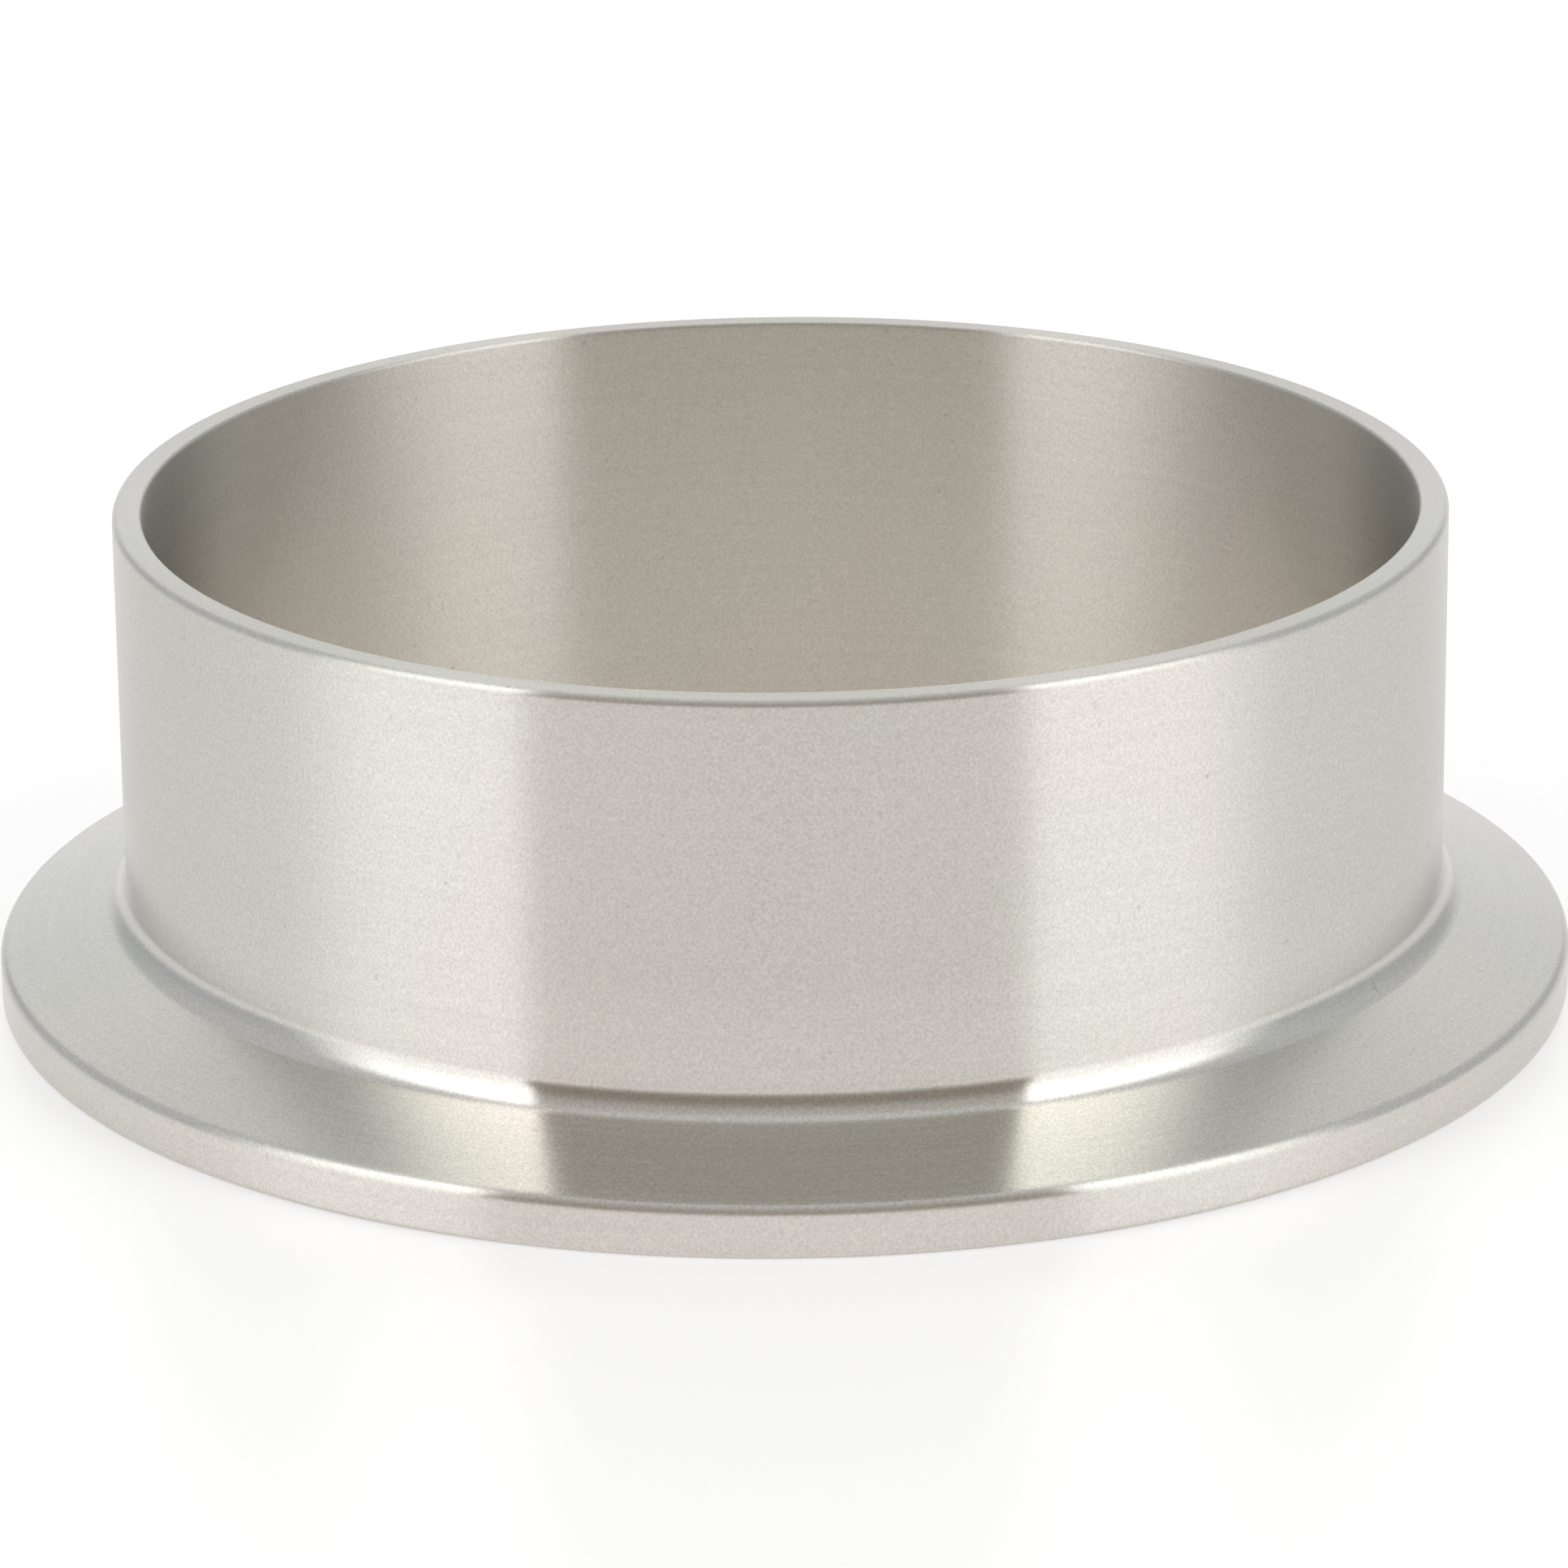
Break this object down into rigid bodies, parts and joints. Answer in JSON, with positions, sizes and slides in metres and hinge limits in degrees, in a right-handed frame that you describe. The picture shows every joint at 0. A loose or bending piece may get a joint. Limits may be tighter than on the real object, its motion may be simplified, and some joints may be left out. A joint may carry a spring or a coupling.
{
  "type": "sanitary clamp ferrule",
  "caption": "Short stainless steel tube stub with a flared clamp flange and gasket groove, welded to a hygienic tube to make a clamp joint.",
  "frame": {"origin": "centre of the flange's flat sealing face, on the tube's axis", "axes": "+Z along the tube's axis, from the sealing face towards the tube end that is welded; the part is round, so X and Y are any two directions across it"},
  "size_m": [0.0908, 0.0908, 0.0286],
  "materials": {
    "turned_steel": "fine turned stainless steel, satin to bright, with faint rings round the axis"
  },
  "bodies": {
    "root": {"ferrule": "turned_steel"}
  },
  "joints": []
}
